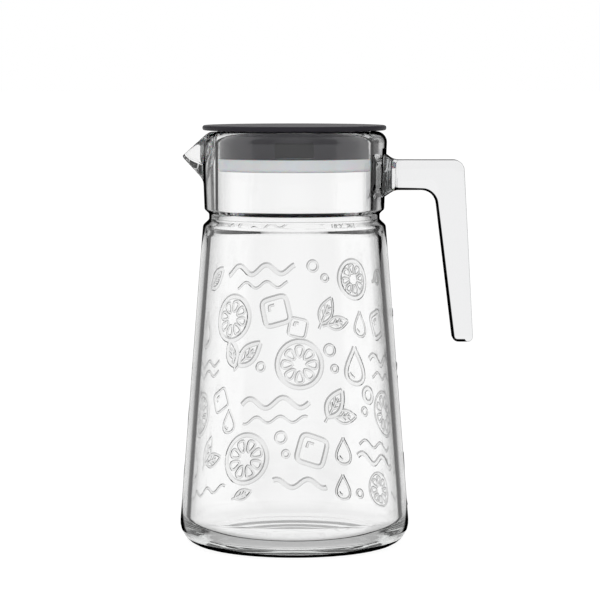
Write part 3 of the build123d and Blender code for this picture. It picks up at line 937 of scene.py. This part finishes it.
# Stage: a white table top, a bright backdrop, and a room that the glass bends into view along its
# edges: a lit side at the beak, a dark one at the handle, and a dark ceiling, as black cards give.
def add_room(tree, vector):
    """Light from round the room, by direction or place: white, but with cards for turned-back light."""
    around = [
        (-165, 0.6), (-148, 0.4), (-122, 0.4), (-118, 1.0), (-45, 1.0), (-41, 0.02), (-34, 0.02),
        (-31, 0.50), (-25, 0.75), (-12, 0.90), (-6, 1.0), (6, 1.0), (12, 0.90), (28, 0.70), (32, 0.45),
        (35, 0.02), (48, 0.02), (60, 0.60), (75, 1.0), (118, 1.0), (122, 0.4), (148, 0.4), (165, 0.6),
    ]
    parts = add_node(tree, "ShaderNodeSeparateXYZ", {"Vector": vector})
    turn = add_node(tree, "ShaderNodeMath", {
        0: parts.outputs["X"], 1: parts.outputs["Y"]}, operation="ARCTAN2")
    share = add_node(tree, "ShaderNodeMapRange", {"Value": turn.outputs[0]}, {
        "From Min": -math.pi, "From Max": math.pi})
    cards = add_node(tree, "ShaderNodeValToRGB", {"Fac": share.outputs[0]}, stops=[
        ((degrees + 180) / 360, light) for degrees, light in around])
    rays = add_node(tree, "ShaderNodeLightPath")
    turned_back = add_node(tree, "ShaderNodeMath", {0: rays.outputs["Glossy Depth"]}, {1: 0.5},
                           operation="GREATER_THAN")
    room = add_node(tree, "ShaderNodeMix", {
        0: turned_back.outputs[0], 7: cards.outputs["Color"]}, {6: linear("#FFFFFF")}, data_type="RGBA")
    return room.outputs[2]


TABLE_HALF = 30.0
TABLE_Z = -0.0002
corners = [(TABLE_HALF * x, TABLE_HALF * y, TABLE_Z) for x, y in ((-1, -1), (1, -1), (1, 1), (-1, 1))]
table_mesh = bpy.data.meshes.new("table_top")
table_mesh.from_pydata(corners, [], [(0, 1, 2, 3)])
table = bpy.data.objects.new("table_top", table_mesh)
bpy.context.scene.collection.objects.link(table)
table_finish, tree, output = new_material("white_table_top")
place = add_node(tree, "ShaderNodeTexCoord")
room = add_room(tree, place.outputs["Object"])
parts = add_node(tree, "ShaderNodeSeparateXYZ", {"Vector": place.outputs["Object"]})
flat = add_node(tree, "ShaderNodeCombineXYZ", {"X": parts.outputs["X"], "Y": parts.outputs["Y"]})
reach = add_node(tree, "ShaderNodeVectorMath", {0: flat.outputs[0]}, operation="LENGTH")

# The glass bends in a painted shadow of the jug on the table, near the foot and towards the front, and
# the room's light further out
foot_shade = add_node(tree, "ShaderNodeValToRGB", {"Fac": reach.outputs["Value"]}, stops=[
    (0.0, 0.98), (0.044, 0.98), (0.052, 0.48), (0.068, 0.46), (0.10, 1.0)])
to_front = add_node(tree, "ShaderNodeMapRange", {"Value": parts.outputs["Y"]}, {
    "From Min": 0.04, "From Max": -0.02})
under = add_node(tree, "ShaderNodeMix", {
    0: to_front.outputs[0], 7: foot_shade.outputs["Color"]}, {6: linear("#FFFFFF")}, data_type="RGBA")
far = add_node(tree, "ShaderNodeMapRange", {"Value": reach.outputs["Value"]}, {
    "From Min": 0.2, "From Max": 1.2})
pool = add_node(tree, "ShaderNodeMix", {0: far.outputs[0], 6: under.outputs[2], 7: room},
                data_type="RGBA")
white = add_node(tree, "ShaderNodeBsdfDiffuse", values={"Color": linear("#959595")})
glow = add_node(tree, "ShaderNodeEmission", values={"Strength": 0.86})
bright = add_node(tree, "ShaderNodeEmission", values={"Strength": 0.98})
bent_glow = add_node(tree, "ShaderNodeEmission", {"Color": pool.outputs[2]}, {"Strength": 0.98})
rays = add_node(tree, "ShaderNodeLightPath")
seen = add_node(tree, "ShaderNodeAddShader", {0: white.outputs[0], 1: glow.outputs[0]})
mirrored = add_node(tree, "ShaderNodeMixShader", {
    0: rays.outputs["Is Glossy Ray"], 1: white.outputs[0], 2: bright.outputs[0]})
bent = add_node(tree, "ShaderNodeMixShader", {
    0: rays.outputs["Is Transmission Ray"], 1: mirrored.outputs[0], 2: bent_glow.outputs[0]})
chosen = add_node(tree, "ShaderNodeMixShader", {
    0: rays.outputs["Is Camera Ray"], 1: bent.outputs[0], 2: seen.outputs[0]})
tree.links.new(chosen.outputs[0], output.inputs["Surface"])
table_mesh.materials.append(table_finish)

# The room's walls and dark ceiling, by direction, and a plain white backdrop behind the jug
world = bpy.data.worlds.new("bright_field")
bpy.context.scene.world = world
world.use_nodes = True
tree = world.node_tree
tree.nodes.clear()
output = add_node(tree, "ShaderNodeOutputWorld")
direction = add_node(tree, "ShaderNodeTexCoord")
room = add_room(tree, direction.outputs["Generated"])
parts = add_node(tree, "ShaderNodeSeparateXYZ", {"Vector": direction.outputs["Generated"]})
ceiling = add_node(tree, "ShaderNodeMapRange", {"Value": parts.outputs["Z"]}, {
    "From Min": 0.55, "From Max": 0.70})
closed_room = add_node(tree, "ShaderNodeMix", {0: ceiling.outputs[0], 6: room}, {
    7: linear("#303030")}, data_type="RGBA")
rays = add_node(tree, "ShaderNodeLightPath")
bent_light = add_node(tree, "ShaderNodeBackground", {"Color": closed_room.outputs[2]}, {
    "Strength": 1.0})
mirrored_light = add_node(tree, "ShaderNodeBackground", {"Color": room}, {"Strength": 1.0})
room_light = add_node(tree, "ShaderNodeBackground", values={
    "Color": linear("#FFFFFF"), "Strength": 0.6})
backdrop = add_node(tree, "ShaderNodeBackground", values={
    "Color": linear("#FFFFFF"), "Strength": 1.0})
plain = add_node(tree, "ShaderNodeMixShader", {
    0: rays.outputs["Is Camera Ray"], 1: room_light.outputs[0], 2: backdrop.outputs[0]})
mirrored = add_node(tree, "ShaderNodeMixShader", {
    0: rays.outputs["Is Glossy Ray"], 1: plain.outputs[0], 2: mirrored_light.outputs[0]})
shown = add_node(tree, "ShaderNodeMixShader", {
    0: rays.outputs["Is Transmission Ray"], 1: mirrored.outputs[0], 2: bent_light.outputs[0]})
tree.links.new(shown.outputs[0], output.inputs["Surface"])


def turned_to(place, aim):
    """Turn of a lamp or camera that looks from a place at an aim."""
    return (Vector(aim) - Vector(place)).to_track_quat("-Z", "Y").to_euler()


# A soft lamp in front and above, which glass doesn't mirror
LAMP_PLACE = (0.0, -1.6, 0.6)
LAMP_AIM = (0.0, 0.0, 0.18)
softbox = bpy.data.lights.new("front_softbox", "AREA")
softbox.shape = "RECTANGLE"
softbox.size = 1.2
softbox.size_y = 0.9
softbox.energy = 14.0
lamp = bpy.data.objects.new("front_softbox", softbox)
lamp.location = LAMP_PLACE
lamp.rotation_euler = turned_to(LAMP_PLACE, LAMP_AIM)
lamp.visible_camera = False
lamp.visible_transmission = False
lamp.visible_glossy = False
bpy.context.scene.collection.objects.link(lamp)

# The camera stands where the photograph's did, with a long lens
CAMERA_PLACE = (0.0034, -1.650, 0.273)
CAMERA_AIM = (0.0032, 0.0, 0.1400)
FRAME_SIDE_PX = 600
LENS_PX = 2891
camera_data = bpy.data.cameras.new("camera")
camera_data.sensor_width = 36.0
camera_data.lens = camera_data.sensor_width * LENS_PX / FRAME_SIDE_PX
camera = bpy.data.objects.new("camera", camera_data)
camera.location = CAMERA_PLACE
camera.rotation_euler = turned_to(CAMERA_PLACE, CAMERA_AIM)
bpy.context.scene.collection.objects.link(camera)
bpy.context.scene.camera = camera
bpy.context.scene.view_settings.view_transform = "Standard"

# Light turns back and forth many times inside a thick foot and rim before it leaves
bpy.context.scene.cycles.max_bounces = 32
bpy.context.scene.cycles.glossy_bounces = 16
bpy.context.scene.cycles.transmission_bounces = 32
